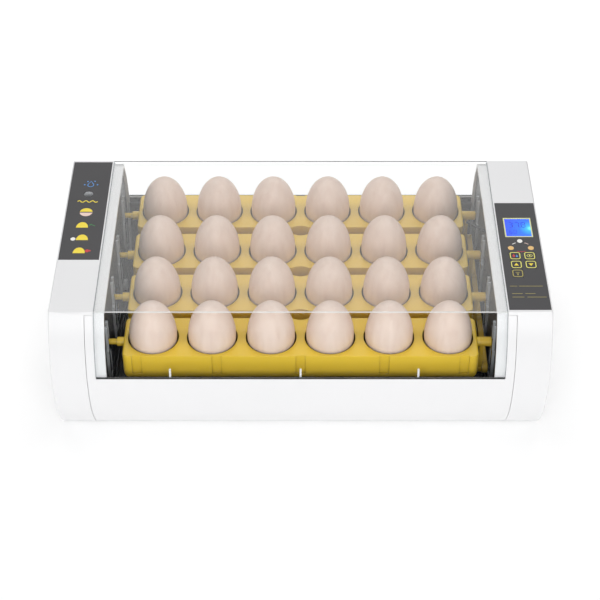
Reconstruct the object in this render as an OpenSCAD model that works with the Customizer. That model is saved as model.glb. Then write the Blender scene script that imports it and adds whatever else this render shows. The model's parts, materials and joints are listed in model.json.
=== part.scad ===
// Tabletop egg incubator: barrel-sided housing with two end caps, a clear lift-off cover,
// and four egg trays that tilt together through a link bar. Millimetres, +Z up,
// origin on the floor under the middle, +X along the trays, front towards -Y.

/* [Housing] */
// Length over both end caps
body_w = 470; // [460:1:490]
// Depth at the widest part of the barrel sides
belly_d = 286; // [282:1:292]
// Radius of the barrel sides
belly_r = 114; // [112:1:118]
// Height of the widest part above the floor
belly_z = 79; // [77:1:81]
// Height from the floor to the flat top
body_h = 150; // [148:1:154]
// Thickness of the moulded walls
wall = 3; // [2.5:0.1:3.2]
// Height of the rim that the cover stands on
rim_z = 87; // [86:1:88]
// Width of each end cap below its top flange
cap_w = 34; // [33:1:36]
// Height of the rubber feet
foot_h = 2; // [1.5:0.1:2.5]

/* [Cover] */
// Length of the clear cover
cover_w = 385.4; // [385:0.1:385.6]
// Thickness of the clear cover
cover_t = 2.5; // [2:0.1:2.5]

/* [Trays] */
// Distance between neighbouring tilt axes
row_pitch = 65.2; // [65:0.1:65.6]
// Eggs in each tray
eggs_per_row = 6; // [4:1:6]
// Distance between neighbouring eggs in a tray
egg_pitch = 56.3; // [55:0.1:56.4]
// Length of a tray
tray_l = 338; // [336:1:339]
// Width of a tray
tray_w = 54.4; // [54:0.1:55]
// Height of a tray
tray_h = 27; // [25:1:28]
// Height of the tray tops above the floor
tray_z = 100.2; // [99:0.1:101]
// Height of the tilt axes above the floor
pivot_z = 94.4; // [94:0.1:95]
// Diameter of an egg cup
cup_d = 48.6; // [48:0.1:49]

/* [Eggs] */
// Diameter of an egg
egg_d = 45.6; // [44:0.1:46]
// Height of an egg above its widest part
egg_up = 41; // [38:0.5:41]
// Height of an egg's widest part above its tray
egg_rise = 0.8; // [0:0.1:1]

/* [Turning gear] */
// Diameter of the tray pins and of the drive shaft
pin_d = 5.6; // [5:0.1:6]
// Length of the levers below the tilt axes
lever_l = 33; // [30:1:34]
// Radial clearance of a turning pin
run_gap = 0.08; // [0.05:0.01:0.1]

/* [Hidden] */
$fn = 96;
half_w = body_w / 2;
fit = 0.3;            // gap between bodies that move apart
part_line = 0.4;      // visible line between two mouldings of one body
belly_off = belly_d / 2 - belly_r;
tab_x = [-123, 0, 111];
cap_x = half_w - cap_w;
ledge_x = cover_w / 2 + fit;
ledge_w = 10;
frame_x = ledge_x - ledge_w;
flange_t = 2.5;       // end cap top and walls
frame_in = cover_t + fit + wall;
panel_x = frame_x + wall;
panel_t = 2.5;
tub_t = 2;
tub_in = frame_in + fit;
tub_x = panel_x - 0.2;
tub_top = rim_z - 5.5;
tray_x = tray_l / 2;
tray_y = [for (i = [0:3]) (i - 1.5) * row_pitch];
egg_x = [for (i = [0:eggs_per_row - 1]) (i - (eggs_per_row - 1) / 2) * egg_pitch];
egg_low = 21.5;
cup_wall = 1.8;
seat_r = 14;
seat_z = tray_z + egg_rise - egg_low * sqrt(1 - pow(2 * seat_r / egg_d, 2)) - 0.1;
hub_r = 4.7;
hub_x = panel_x - 3;
pin_end = panel_x - fit;
lever_x = tray_x + 2.5;
lever_t = 4;
link_x = lever_x + lever_t + fit;
link_t = 5.4;
crank_r = 2.4;
crank_z = pivot_z - lever_l;
guide_t = 2.6;
label_t = 0.5;
label_w = 39.4;
label_x = cap_x + 12.8;
fill_x = -214;
fill_y = 62;
fan_z = 56;
fan_s = 50;
fan_t = 15;
fan_x = -panel_x - panel_t - 6;
motor_y = tray_y[1];
lcd_pos = [214, 7.8];
lcd_size = [27.2, 30];
key_size = [10.4, 10.8];
key_x = [207.1, 221.1];
key_y = [-36, -49.2, -62.4];
key_travel = 0.6;
board_z = 135;
board_t = 1.6;
switch_h = 4;
board_holes = [for (x = [204.6, 226.5], y = [-73, 30]) [x, y]];
supply_holes = [for (x = [206.5, 226.5], y = [-68, -8]) [x, y]];
supply_z = 16;
inlet_y = 58;
inlet_z = 42;
inlet_flange = 2.2;

// ---------- shared shapes ----------

// Draws a (y, z) outline from x0 to x1
module along_x(x0, x1) {
    translate([x0, 0, 0]) rotate([90, 0, 90]) linear_extrude(height = x1 - x0) children();
}

// Places children on the left and mirrored on the right
module both_ends() {
    children();
    mirror([1, 0, 0]) children();
}

// Side view of the barrel, moved in by inset, between two heights
module barrel(inset = 0, z0 = foot_h, z1 = body_h) {
    intersection() {
        union() {
            for (s = [-1, 1]) translate([s * belly_off, belly_z]) circle(r = belly_r - inset, $fn = 180);
        }
        translate([-belly_d, z0]) square([2 * belly_d, z1 - z0]);
    }
}

// Rounded rectangle in the plane, with exact arcs
module round_rect(w, d, r) {
    square([w - 2 * r, d], center = true);
    square([w, d - 2 * r], center = true);
    for (sx = [-1, 1], sy = [-1, 1]) translate([sx * (w / 2 - r), sy * (d / 2 - r)]) circle(r = r, $fn = 32);
}

// Cylinder along X from x0 to x1 at (y, z)
module rod_x(x0, x1, y, z, r) {
    translate([x0, y, z]) rotate([0, 90, 0]) cylinder(h = x1 - x0, r = r);
}

// Wire along points, with a fuller round at each bend
module wire(points, r = 1.1) {
    for (i = [0:len(points) - 1]) translate(points[i]) sphere(r = 1.3 * r, $fn = 16);
    for (i = [0:len(points) - 2]) stick(points[i], points[i + 1], r);
}

module stick(a, b, r) {
    v = b - a;
    l = norm(v);
    translate(a) rotate([0, acos(v[2] / l), atan2(v[1], v[0])]) cylinder(h = l, r = r, $fn = 16);
}

// Pan-head screw along +Z with its head underneath
module screw_up(l, r = 1.4, head_r = 2.8, head_h = 1.8) {
    cylinder(h = head_h, r = head_r, $fn = 32);
    translate([0, 0, head_h]) cylinder(h = l, r = r, $fn = 32);
}

// ---------- housing ----------

module base_shell() color("white") {
    difference() {
        union() {
            difference() {
                along_x(-cap_x, cap_x) barrel(0, foot_h, rim_z);
                along_x(-cap_x - 1, cap_x + 1) barrel(wall, foot_h + wall, rim_z + 1);
            }
            both_ends() end_frame();
            for (x = tab_x) locating_tab(x);
        }
        translate([-cap_x - 1, 57, foot_h + wall]) cube([2 * cap_x + 2, 6, wall]);
        translate([cap_x - 1.6, key_y[2] - 8, board_z]) cube([3, 96, body_h]);
    }
}

// White frame at each end: a ledge under the cover and a strip flush with the outside
module end_frame() {
    ledge_top = body_h - cover_t - fit;
    strip_top = body_h - flange_t - fit;
    difference() {
        union() {
            along_x(frame_x, ledge_x) barrel(cover_t + fit, foot_h, ledge_top);
            along_x(ledge_x, cap_x) barrel(0, foot_h, strip_top);
        }
        along_x(frame_x - 1, cap_x + 1) barrel(frame_in, foot_h + frame_in, body_h - frame_in);
    }
}

// Short rib inside the front rim that keeps the cover's edge in place
module locating_tab(x) {
    tab_h = 8;
    intersection() {
        along_x(x - 0.9, x + 0.9) barrel(cover_t + fit, rim_z - 14, rim_z + tab_h);
        translate([x - 2, -belly_d, 0]) cube([4, belly_d, body_h]);
        along_x(x - 2, x + 2) tab_band();
    }
}

module tab_band() {
    difference() {
        barrel(0);
        barrel(frame_in - 0.4);
    }
}

module cap_shell() {
    difference() {
        union() {
            along_x(cap_x + part_line, half_w) barrel(0);
            along_x(ledge_x, cap_x + 1) barrel(0, body_h - flange_t, body_h);
        }
        along_x(cap_x - 1 + part_line, half_w - flange_t) barrel(flange_t, foot_h - 1, body_h - flange_t);
    }
    for (s = [-1, 1]) {
        cap_boss(half_w - flange_t - 3, s * 80);
        cap_boss(cap_x + 8, s * 106);
        intersection() {
            along_x(cap_x + 6.8, cap_x + 9.2) barrel(1);
            translate([cap_x, s > 0 ? 108 : -130, foot_h + wall]) cube([20, 22, 14]);
        }
    }
}

// Post that a screw of the bottom plate bites into
module cap_boss(x, y) {
    translate([x, y, foot_h + wall]) difference() {
        cylinder(h = 14, r = 3.6);
        translate([0, 0, -1]) cylinder(h = 12, r = 1.4 + run_gap);
    }
}

module label_pocket(y0, y1) {
    translate([label_x - label_w / 2, y0, body_h - label_t]) cube([label_w, y1 - y0, 1]);
}

module end_cap_left() color("white") difference() {
    mirror([1, 0, 0]) cap_shell();
    mirror([1, 0, 0]) label_pocket(-42.3, 116);
    translate([fill_x, fill_y, body_h - 5]) cylinder(h = 10, r = 6.5);
    mirror([1, 0, 0]) air_slots(-20);
}

module end_cap_right() color("white") difference() {
    union() {
        cap_shell();
        translate([half_w - flange_t - 3, inlet_y - 28, inlet_z - 15]) cube([3.5, 56, 30]);
        board_posts();
    }
    label_pocket(-115.4, 47);
    lcd_opening();
    for (k = [0:4]) key_place(k) key_hole(5);
    translate([half_w, inlet_y, inlet_z]) cube([2 * inlet_flange, 50.4, 24.4], center = true);
    translate([half_w, inlet_y, inlet_z]) cube([20, 27.6, 20.2], center = true);
    for (s = [-1, 1]) rod_x(half_w - 10, half_w + 1, inlet_y + s * 20, inlet_z, 1.45 + run_gap);
    air_slots(-20);
}

// Posts under the cap's top that hold the control board
module board_posts() {
    for (p = board_holes) translate([p[0], p[1], board_z + board_t]) difference() {
        cylinder(h = body_h - flange_t - board_z - board_t + 0.5, r = 3);
        translate([0, 0, -1]) cylinder(h = 9, r = 1.4 + run_gap);
    }
}

// Slots for fresh air low in the outer wall
module air_slots(y) {
    for (i = [0:5]) translate([half_w - 5, y - 42 + 8 * i, 22]) cube([10, 3, 26]);
}

module bottom_plate() {
    difference() {
        along_x(cap_x + part_line, half_w - flange_t - fit) barrel(flange_t + fit, foot_h, foot_h + wall);
        plate_screw_places() translate([0, 0, -1]) cylinder(h = 10, r = 1.6);
        plate_screw_places() translate([0, 0, -1]) cylinder(h = 3, r = 3.1);
        for (i = [-2:2]) translate([cap_x + 8, 24 * i - 8, foot_h - 1]) cube([18, 3, 10]);
    }
}

module plate_screw_places() {
    for (s = [-1, 1]) {
        translate([half_w - flange_t - 3, s * 80, foot_h]) children();
        translate([cap_x + 8, s * 106, foot_h]) children();
    }
}

module bottom_plate_left() color("gainsboro") mirror([1, 0, 0]) bottom_plate();

module bottom_plate_right() color("gainsboro") bottom_plate();

module plate_screws() color("silver") both_ends() plate_screw_places() translate([0, 0, 0.1]) screw_up(8.5);

module feet() color("dimgray") for (sx = [-1, 1], sy = [-1, 1]) translate([sx * 190, sy * 95, 0]) {
    rotate_extrude() polygon([[0, 0], [7.4, 0], [8.2, foot_h * 0.5], [8.4, foot_h], [0, foot_h]]);
}

// ---------- chamber ----------

module side_panel() {
    along_x(panel_x, panel_x + panel_t) {
        barrel(frame_in + 0.1, foot_h + frame_in + fit, body_h - frame_in - fit);
    }
}

module side_panel_left() color("#3c3e42") difference() {
    mirror([1, 0, 0]) side_panel();
    rod_x(-panel_x - 5, -panel_x + 5, 0, fan_z, fan_s / 2 - 2.5);
    rod_x(-panel_x - 5, -panel_x + 5, fill_y, 30, 6.2);
    for (s = [-1, 1], i = [0:4]) translate([-panel_x - 5, s * 66 - 12 + 6 * i, 34]) cube([10, 2.6, 24]);
}

module side_panel_right() color("#3c3e42") difference() {
    side_panel();
    rod_x(panel_x - 1, panel_x + 5, motor_y, pivot_z, 4.2);
    for (s = [-1, 1]) rod_x(panel_x - 1, panel_x + 5, motor_y + s * 28, pivot_z - 8, 1.5 + run_gap);
    rod_x(panel_x - 1, panel_x + 5, 34, 125, 1.8);
}

// Dark liner with low water channels in its floor
module water_tub() color("#333538") {
    floor_z = foot_h + tub_in;
    channel_h = 12;
    difference() {
        along_x(-tub_x, tub_x) barrel(tub_in, floor_z, tub_top);
        along_x(-tub_x + tub_t, tub_x - tub_t) barrel(tub_in + tub_t, floor_z + tub_t, rim_z + 1);
        both_ends() along_x(tub_x - tub_t - 1, tub_x + 1) {
            translate([-belly_d, 22]) square([2 * belly_d, body_h]);
        }
    }
    difference() {
        along_x(-frame_x + fit, frame_x - fit) rim_band();
        for (x = tab_x) translate([x, -140, tub_top]) cube([2.6, 20, 10], center = true);
    }
    rib_h = channel_h + tub_t - 1;
    for (s = [-1, 1], y = [28, 58]) translate([-140, s * y - 1, floor_z + 1]) cube([280, 2, rib_h]);
    for (s = [-1, 1], x = [-140, 138]) translate([x, s > 0 ? 27 : -59, floor_z + 1]) cube([2, 32, rib_h]);
}

module rim_band() {
    difference() {
        barrel(wall + 0.2, tub_top - 2, tub_top);
        barrel(tub_in + tub_t - 0.5);
    }
}

// Upright moulding that each tray pin drops into
module pivot_guide(y) {
    slot_r = pin_d / 2 + run_gap;
    post_w = 2 * slot_r + 4.8;
    difference() {
        union() {
            translate([panel_x - guide_t, y - 9, pivot_z - 46]) cube([guide_t, 18, 40]);
            translate([panel_x - guide_t, y - post_w / 2, pivot_z - 8]) cube([guide_t, post_w, 30]);
        }
        translate([panel_x - guide_t - 1, y - slot_r, pivot_z]) cube([guide_t + 2, 2 * slot_r, 30]);
        rod_x(panel_x - guide_t - 1, panel_x + 1, y, pivot_z, slot_r);
        translate([panel_x - guide_t - 1, y - 6, pivot_z - 43]) cube([1.8, 12, 30]);
    }
}

module pivot_guides_left() color("#c9cdd0") mirror([1, 0, 0]) for (y = tray_y) pivot_guide(y);

module pivot_guides_right() color("#c9cdd0") for (y = tray_y) pivot_guide(y);

module cover() color("#cfe4ea", 0.35) difference() {
    along_x(-cover_w / 2, cover_w / 2) barrel(0, rim_z + fit, body_h);
    along_x(-cover_w, cover_w) barrel(cover_t, foot_h, body_h - cover_t);
}

// ---------- trays, eggs and turning gear ----------

// front and back say which long edges have a finger notch
module tray(y, front, back, bored) color("#e8bf33") {
    cup_h = tray_z - seat_z + 2.6;
    translate([0, y, tray_z]) difference() {
        union() {
            tray_shell();
            for (x = egg_x) translate([x, 0, -cup_h]) cylinder(h = cup_h, r = cup_d / 2 + cup_wall);
            if (front) notch_pad(-1);
            if (back) notch_pad(1);
        }
        for (x = egg_x) {
            translate([x, 0, seat_z - tray_z]) cylinder(h = 50, r = cup_d / 2);
            translate([x, 0, -tray_h - 1]) cylinder(h = 50, r = seat_r);
        }
        if (front) notch(-1);
        if (back) notch(1);
        for (s = [-1, 1], x = [-155.5, -79.5, 79.5, 155.5]) groove(x, s);
        if (!front) groove(0, -1);
        if (!back) groove(0, 1);
    }
    rod_x(-tray_x - 6.6, -tray_x + 1.5, y, pivot_z, hub_r - 0.2);
    rod_x(-pin_end, -tray_x, y, pivot_z, pin_d / 2);
    difference() {
        rod_x(tray_x - 1.5, lever_x, y, pivot_z, hub_r);
        if (bored) rod_x(tray_x + 1, half_w, y, pivot_z, pin_d / 2);
    }
    if (!bored) rod_x(tray_x, pin_end, y, pivot_z, pin_d / 2);
}

// Hollow box with rounded corners, open underneath
module tray_shell() {
    skin = 2.2;
    difference() {
        intersection() {
            translate([0, 0, -tray_h]) linear_extrude(height = tray_h) round_rect(tray_l, tray_w, 6);
            translate([0, tray_w, -tray_h / 2]) rotate([90, 0, 0]) linear_extrude(height = 2 * tray_w) {
                tray_outline(2, 6);
            }
        }
        translate([0, 0, -tray_h - 1]) linear_extrude(height = tray_h + 1 - skin) {
            round_rect(tray_l - 2 * skin, tray_w - 2 * skin, 4);
        }
    }
}

// Front view of a tray, with small corners at the top and large ones at the bottom
module tray_outline(r_top, r_low) {
    translate([-tray_l / 2, r_low - tray_h / 2]) square([tray_l, tray_h - r_low - r_top]);
    translate([r_top - tray_l / 2, 0]) square([tray_l - 2 * r_top, tray_h / 2]);
    translate([r_low - tray_l / 2, -tray_h / 2]) square([tray_l - 2 * r_low, tray_h / 2]);
    for (s = [-1, 1]) {
        translate([s * (tray_l / 2 - r_top), tray_h / 2 - r_top]) circle(r = r_top, $fn = 32);
        translate([s * (tray_l / 2 - r_low), r_low - tray_h / 2]) circle(r = r_low, $fn = 48);
    }
}

// Shallow finger notch in a long edge
module notch(s) {
    translate([0, s * (tray_w / 2 + 12.8), -tray_h - 1]) cylinder(h = tray_h + 2, r = 15.2);
}

// Thicker wall behind a finger notch
module notch_pad(s) {
    translate([-7, s * (tray_w / 2 - 3.4) - 1.4, -tray_h]) cube([14, 2.8, tray_h - 1]);
}

module groove(x, s) {
    y0 = s > 0 ? tray_w / 2 - 1.1 : -tray_w / 2 - 1;
    translate([x - 4.75, y0, 4 - tray_h]) cube([9.5, 2.1, tray_h]);
}

module tray_1() tray(tray_y[0], false, true, false);

module tray_2() tray(tray_y[1], true, true, true);

module tray_3() tray(tray_y[2], true, true, false);

module tray_4() tray(tray_y[3], true, false, false);

// Egg outline: two half ellipses that share the widest ring
function egg_point(t) = [egg_d / 2 * cos(t), (t > 0 ? egg_up : egg_low) * sin(t)];

module egg() {
    steps = 16;
    rotate_extrude() polygon([for (i = [0:steps]) i == 0 || i == steps
        ? [0, i == 0 ? -egg_low : egg_up] : egg_point(-90 + 180 * i / steps)]);
}

module egg_row(y) color("#e8cfbf") for (x = egg_x) translate([x, y, tray_z + egg_rise]) egg();

module eggs_1() egg_row(tray_y[0]);

module eggs_2() egg_row(tray_y[1]);

module eggs_3() egg_row(tray_y[2]);

module eggs_4() egg_row(tray_y[3]);

// Crank arm pushed on the tray's pin, or on the drive shaft, with a pin for the link bar
module lever(y) color("#e0b030") {
    difference() {
        union() {
            rod_x(lever_x, hub_x - fit, y, pivot_z, hub_r);
            translate([lever_x, y - 4, crank_z]) cube([lever_t, 8, lever_l]);
            rod_x(lever_x, lever_x + lever_t, y, crank_z, 5);
        }
        rod_x(lever_x - 1, hub_x, y, pivot_z, pin_d / 2);
    }
    rod_x(lever_x + lever_t / 2, link_x + link_t + 0.8, y, crank_z, crank_r);
}

module lever_1() lever(tray_y[0]);

module lever_2() lever(tray_y[1]);

module lever_3() lever(tray_y[2]);

module lever_4() lever(tray_y[3]);

module link_bar() color("#e0b030") difference() {
    end_r = 6;
    along_x(link_x, link_x + link_t) {
        translate([tray_y[0], crank_z - 5]) square([tray_y[3] - tray_y[0], 10]);
        for (y = tray_y) translate([y, crank_z]) circle(r = end_r);
    }
    for (i = [0:3]) {
        rod_x(link_x - 1, link_x + link_t + 1, tray_y[i], crank_z, crank_r + (i == 1 ? run_gap : fit));
    }
}

module drive_shaft() color("silver") rod_x(tray_x + 3, panel_x + panel_t + 14, motor_y, pivot_z, pin_d / 2);

// Synchronous gear motor on the outside of the right panel
module turning_motor() color("#b9bcc0") {
    x0 = panel_x + panel_t;
    difference() {
        union() {
            rod_x(x0, x0 + 3, motor_y, pivot_z, 6);
            rod_x(x0 + 2.5, x0 + 20, motor_y, pivot_z - 8, 24);
            along_x(x0 + 2.5, x0 + 4) translate([motor_y, pivot_z - 8]) round_rect(66, 12, 5.9);
            for (s = [-1, 1]) rod_x(x0, x0 + 3, motor_y + s * 28, pivot_z - 8, 4);
            translate([x0 + 6, motor_y - 8, pivot_z - 38]) cube([12, 16, 10]);
        }
        rod_x(x0 - 1, x0 + 15, motor_y, pivot_z, pin_d / 2 + run_gap);
        for (s = [-1, 1]) rod_x(x0 - 1, x0 + 5, motor_y + s * 28, pivot_z - 8, 1.6);
    }
}

module panel_screws() color("silver") {
    for (s = [-1, 1]) translate([panel_x + panel_t + 5.8, motor_y + s * 28, pivot_z - 8]) {
        rotate([0, -90, 0]) screw_up(5.6, 1.5, 2.8);
    }
}

// ---------- heat, air and water ----------

module fan_frame() color("#26282b") {
    x0 = fan_x - fan_t;
    difference() {
        along_x(x0, fan_x) translate([0, fan_z]) round_rect(fan_s, fan_s, 4);
        rod_x(x0 - 1, fan_x + 1, 0, fan_z, fan_s / 2 - 1.8);
        for (sy = [-1, 1], sz = [-1, 1]) rod_x(x0 - 1, fan_x + 1, sy * 20, fan_z + sz * 20, 1.7);
    }
    difference() {
        union() {
            rod_x(x0, x0 + 3, 0, fan_z, 9);
            for (a = [45, 135]) translate([x0 + 1, 0, fan_z]) rotate([a, 0, 0]) {
                cube([2, fan_s - 3, 3], center = true);
            }
        }
        rod_x(x0 + 1, x0 + 4, 0, fan_z, 1.5 + run_gap);
    }
}

module fan_rotor() color("#303236") {
    x0 = fan_x - fan_t;
    tip_r = fan_s / 2 - 2.8;
    rod_x(x0 + 3.5, fan_x - 1, 0, fan_z, 9);
    rod_x(x0 + 1.3, x0 + 4, 0, fan_z, 1.5);
    for (k = [0:6]) intersection() {
        translate([(x0 + fan_x) / 2 + 1, 0, fan_z]) rotate([k * 360 / 7, 0, 0]) rotate([0, 0, 38])
            translate([-0.7, -7, 8]) cube([1.4, 14, 20]);
        rod_x(x0 + 4, fan_x - 1.5, 0, fan_z, tip_r);
    }
}

// Wire guard in the panel's fan opening
module fan_guard() color("#54575b") translate([-panel_x - 1.2, 0, fan_z]) rotate([0, 90, 0]) {
    for (r = [7, 13, 19]) rotate_extrude() translate([r, 0]) circle(r = 0.8, $fn = 16);
    for (a = [0, 90]) rotate([0, 0, a]) translate([-22.4, -0.7, -0.7]) cube([44.8, 1.4, 1.4]);
}

// Heating ring on a flat frame between the panel and the fan
module heater() color("#a87f55") {
    x1 = -panel_x - panel_t;
    difference() {
        along_x(x1 - 2, x1) translate([0, fan_z]) round_rect(fan_s, fan_s, 4);
        rod_x(x1 - 4, x1 + 1, 0, fan_z, fan_s / 2 - 3.5);
        for (sy = [-1, 1], sz = [-1, 1]) rod_x(x1 - 4, x1 + 1, sy * 20, fan_z + sz * 20, 1.7);
    }
    translate([x1 - 1.2, 0, fan_z]) rotate([0, 90, 0]) {
        rotate_extrude() translate([16, 0]) circle(r = 1, $fn = 16);
        for (a = [0:60:359]) rotate([0, 0, a]) translate([16, -0.8, -0.7]) cube([7, 1.6, 1.4]);
    }
    for (sy = [-1, 1], sz = [-1, 1]) {
        translate([x1, sy * 20, fan_z + sz * 20]) rotate([0, -90, 0]) difference() {
            translate([0, 0, 1]) cylinder(h = 5, r = 2.8);
            cylinder(h = 8, r = 1.7);
        }
    }
}

module fan_screws() color("silver") {
    for (sy = [-1, 1], sz = [-1, 1]) translate([fan_x - fan_t - 1.8, sy * 20, fan_z + sz * 20]) {
        rotate([0, 90, 0]) screw_up(fan_t + 6, 1.5, 2.6);
    }
}

// Fill neck under the left label, its drop tube and the spout into the tub
module fill_tube() color("#d9dcde") {
    spout_z = 30;
    difference() {
        union() {
            translate([fill_x, fill_y, body_h - 9]) cylinder(h = 9 - label_t, r = 6.3);
            translate([fill_x, fill_y, spout_z - 6]) cylinder(h = body_h - spout_z - 2, r = 6);
            rod_x(fill_x, -tub_x + 3, fill_y, spout_z, 6);
        }
        translate([fill_x, fill_y, spout_z]) cylinder(h = body_h, r = 4.6);
        rod_x(fill_x, -tub_x + 5, fill_y, spout_z, 4.4);
    }
}

// ---------- controls and electrics ----------

module label_film(y0, y1) {
    translate([label_x - label_w / 2 + 0.1, y0, body_h - label_t]) cube([label_w - 0.2, y1 - y0, label_t]);
}

module label_left() color("#4a4a4c") difference() {
    mirror([1, 0, 0]) label_film(-42.2, 115.9);
    translate([fill_x, fill_y, body_h - 5]) cylinder(h = 10, r = 4.6);
}

module label_right() color("#4a4a4c") difference() {
    label_film(-115.3, 46.9);
    lcd_opening();
    for (k = [0:4]) key_place(k) key_hole(5);
}

module lcd_opening() {
    translate([lcd_pos[0], lcd_pos[1], body_h - 15]) linear_extrude(height = 20) {
        square([lcd_size[0] + 0.4, lcd_size[1] + 0.4], center = true);
    }
}

// The five keys stand in two columns
module key_place(k) {
    translate([key_x[k % 2], key_y[floor(k / 2)], body_h]) children();
}

module key_hole(h) {
    translate([0, 0, -h]) linear_extrude(height = h + 1) {
        round_rect(key_size[0] + 0.7, key_size[1] + 0.7, 1.5);
    }
}

// Key cap with a collar under the end cap and a stem over its switch
module key(k) color("#3a3a3c") key_place(k) {
    stem_z = board_z + board_t + switch_h + key_travel + fit - body_h;
    translate([0, 0, -flange_t - 1]) linear_extrude(height = flange_t + 1) {
        round_rect(key_size[0], key_size[1], 1.2);
    }
    translate([0, 0, -flange_t - 1.3]) linear_extrude(height = 1) {
        round_rect(key_size[0] + 2, key_size[1] + 1.8, 1.2);
    }
    translate([0, 0, stem_z]) cylinder(h = -stem_z - 2, r = 2);
}

module button_heat() key(0);

module button_turn() key(1);

module button_up() key(2);

module button_down() key(3);

module button_set() key(4);

module tact_switches() color("#55585c") for (k = [0:4]) {
    key_place(k) translate([0, 0, board_z + board_t - body_h]) {
        translate([-3, -3, 0]) cube([6, 6, switch_h - 1]);
        translate([0, 0, switch_h - 1]) cylinder(h = 1, r = 1.7);
    }
}

module lcd_bezel() color("#d7dba0") difference() {
    translate([lcd_pos[0], lcd_pos[1], body_h - 3]) linear_extrude(height = 3) {
        square(lcd_size, center = true);
    }
    translate([lcd_pos[0], lcd_pos[1], body_h - 4]) linear_extrude(height = 5) {
        square([lcd_size[0] - 2.4, lcd_size[1] - 2.4], center = true);
    }
}

module lcd_screen() color("#2f6cf0") {
    glass = [lcd_size[0] - 2.6, lcd_size[1] - 2.6];
    translate([lcd_pos[0], lcd_pos[1], body_h - 3]) linear_extrude(height = 2.5) square(glass, center = true);
    under_h = body_h - 3 - board_z - board_t;
    translate([lcd_pos[0], lcd_pos[1], board_z + board_t]) linear_extrude(height = under_h) {
        square([glass[0] - 1, glass[1] - 1], center = true);
    }
}

module control_board() color("#1f6b3a") {
    difference() {
        translate([199, -77, board_z]) cube([31, 111, board_t]);
        for (p = board_holes) translate([p[0], p[1], board_z - 1]) cylinder(h = 5, r = 1.6);
    }
    translate([206, -14, board_z - 2]) cube([14, 14, 2.1]);
    translate([206, -52, board_z - 1.6]) cube([8, 12, 1.7]);
    translate([222, -60, board_z - 6]) cylinder(h = 6.1, r = 4);
}

// Mains supply: bare board with transformer, capacitors and relay, on four pillars
module power_board() color("#2c7a45") {
    top = supply_z + board_t - 0.1;
    difference() {
        translate([203, -72, supply_z]) cube([27, 68, board_t]);
        for (p = supply_holes) translate([p[0], p[1], supply_z - 1]) cylinder(h = 5, r = 1.6);
    }
    translate([207, -44, top]) cube([18, 24, 18]);
    translate([216, -57, top]) cylinder(h = 20, r = 6);
    translate([207, -57, top]) cylinder(h = 12, r = 4);
    translate([210, -17, top]) cube([12, 12, 15]);
    for (p = supply_holes) translate([p[0], p[1], foot_h + wall]) difference() {
        cylinder(h = supply_z - foot_h - wall + 0.1, r = 2.6);
        translate([0, 0, 3]) cylinder(h = 20, r = 1.5);
    }
}

module board_screws() color("silver") {
    for (p = supply_holes) translate([p[0], p[1], supply_z + board_t + 1.9]) {
        rotate([180, 0, 0]) screw_up(7, 1.4, 2.4);
    }
    for (p = board_holes) translate([p[0], p[1], board_z - 1.9]) screw_up(9, 1.4, 2.6);
}

// Appliance inlet with a flange let into the right end
module power_inlet() color("#2a2b2e") difference() {
    union() {
        translate([half_w - inlet_flange, inlet_y - 25, inlet_z - 12]) cube([inlet_flange, 50, 24]);
        translate([half_w - 22, inlet_y - 13.6, inlet_z - 9.9]) cube([21, 27.2, 19.8]);
        for (y = [-7, 0, 7]) translate([half_w - 29, inlet_y + y - 1, inlet_z - 3]) cube([8, 2, 6]);
    }
    difference() {
        translate([half_w - 17, inlet_y - 12, inlet_z - 8]) cube([20, 24, 16]);
        for (y = [-7, 0, 7]) translate([half_w - 18, inlet_y + y - 1, inlet_z - (y == 0 ? 0 : 4)]) {
            cube([15, 2, 4]);
        }
    }
    for (s = [-1, 1]) {
        rod_x(half_w - 3, half_w + 1, inlet_y + s * 20, inlet_z, 1.6);
        rod_x(half_w - 1.2, half_w + 1, inlet_y + s * 20, inlet_z, 2.8);
    }
}

module inlet_screws() color("silver") for (s = [-1, 1]) {
    translate([half_w - 0.1, inlet_y + s * 20, inlet_z]) rotate([0, -90, 0]) screw_up(7, 1.45, 2.6, 1);
}

// Stem and bead that read the air beside the third tray
module sensor_probe() color("#2d2e31") {
    wire([[panel_x + panel_t, 34, 125], [panel_x - 2, 34, 125], [171, 45, 126]], 1.1);
    stick([176, 41.2, 125.7], [168.5, 47, 126.1], 1.9);
    rod_x(panel_x - 1.4, panel_x, 34, 125, 3);
    rod_x(panel_x - 0.5, panel_x + panel_t + 1, 34, 125, 1.8);
}

// Mains lead, motor lead, board link and the fan and heater lead under the tub
module wiring() color("#8a3b32") {
    wire([[half_w - 30.6, inlet_y - 7, inlet_z], [204, 24, 36], [214, 2, 38], [215, -10, 34.2]]);
    wire([[panel_x + panel_t + 12, motor_y, 54.8], [208, motor_y, 48], [212, -32, 37.2]]);
    wire([[222, -50, 20], [228, -52, 60], [226, -56, 118], [214, -56, 131.7]]);
    wire([
        [204.5, -30, 20], [202.6, -6, 26], [203.6, 40, 12], [203.6, 60, 6.6],
        [-203.6, 60, 6.6], [-203.6, 24, 26],
    ]);
}

base_shell();
end_cap_left();
end_cap_right();
bottom_plate_left();
bottom_plate_right();
side_panel_left();
side_panel_right();
water_tub();
pivot_guides_left();
pivot_guides_right();
cover();
tray_1();
tray_2();
tray_3();
tray_4();
eggs_1();
eggs_2();
eggs_3();
eggs_4();
lever_1();
lever_2();
lever_3();
lever_4();
link_bar();
drive_shaft();
turning_motor();
fan_frame();
fan_rotor();
fan_guard();
heater();
fill_tube();
label_left();
label_right();
lcd_bezel();
lcd_screen();
control_board();
tact_switches();
power_board();
power_inlet();
sensor_probe();
wiring();
button_heat();
button_turn();
button_up();
button_down();
button_set();
feet();
plate_screws();
panel_screws();
board_screws();
fan_screws();
inlet_screws();
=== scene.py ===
"""Egg incubator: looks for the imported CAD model.

Lengths are metres in the CAD frame, +Z up, front towards -Y. Printed symbols are drawn in millimetres.
"""
import json
import math

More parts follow.
